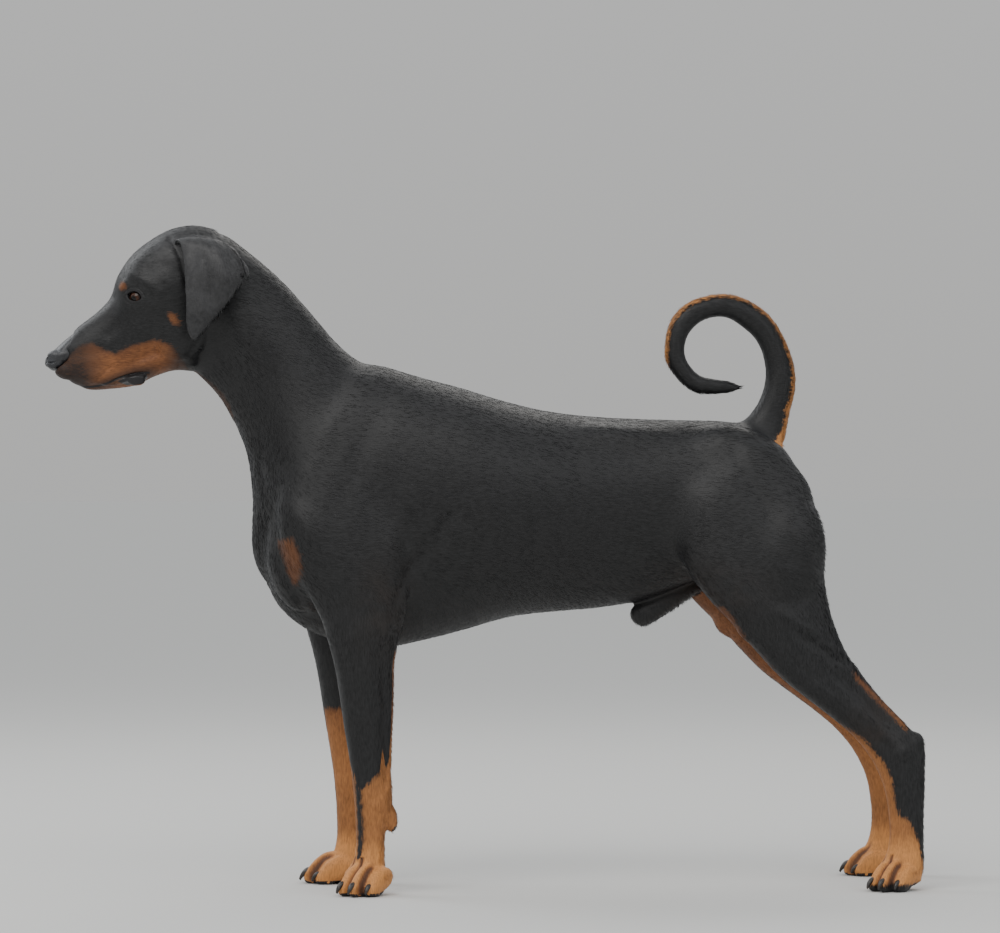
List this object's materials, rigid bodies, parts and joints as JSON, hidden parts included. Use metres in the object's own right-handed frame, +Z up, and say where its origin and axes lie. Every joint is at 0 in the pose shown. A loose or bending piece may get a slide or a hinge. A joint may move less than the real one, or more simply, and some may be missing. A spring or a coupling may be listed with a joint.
{
  "type": "doberman pinscher",
  "caption": "Lean short-coated guard dog standing square, a still life-size figure with hanging ears, a long muzzle and a tail curled over the back",
  "frame": {"origin": "on the floor under the middle of the dog's bounding box", "axes": "+Z up; the dog faces -X, so +X runs towards its tail; its left side is towards -Y"},
  "size_m": [1.1658, 0.2856, 0.8724],
  "materials": {
    "black_coat": "satin",
    "rust_coat": "satin",
    "nose_leather": "satin",
    "eye": "gloss"
  },
  "bodies": {
    "root": {"head": "black_coat", "nose": "nose_leather", "eye_left": "eye", "eye_right": "eye", "ear_left": "black_coat", "ear_right": "black_coat", "neck": "black_coat", "torso": "black_coat", "tail_root": "black_coat", "tail_rise": "black_coat", "tail_arch": "black_coat", "tail_tip": "black_coat", "shoulder_left": "black_coat", "shoulder_right": "black_coat", "foreleg_left": "black_coat", "foreleg_right": "black_coat", "forepaw_left": "rust_coat", "forepaw_right": "rust_coat", "thigh_left": "black_coat", "thigh_right": "black_coat", "lower_leg_left": "black_coat", "lower_leg_right": "black_coat", "hock_left": "black_coat", "hock_right": "black_coat", "hindpaw_left": "rust_coat", "hindpaw_right": "rust_coat"}
  },
  "joints": []
}
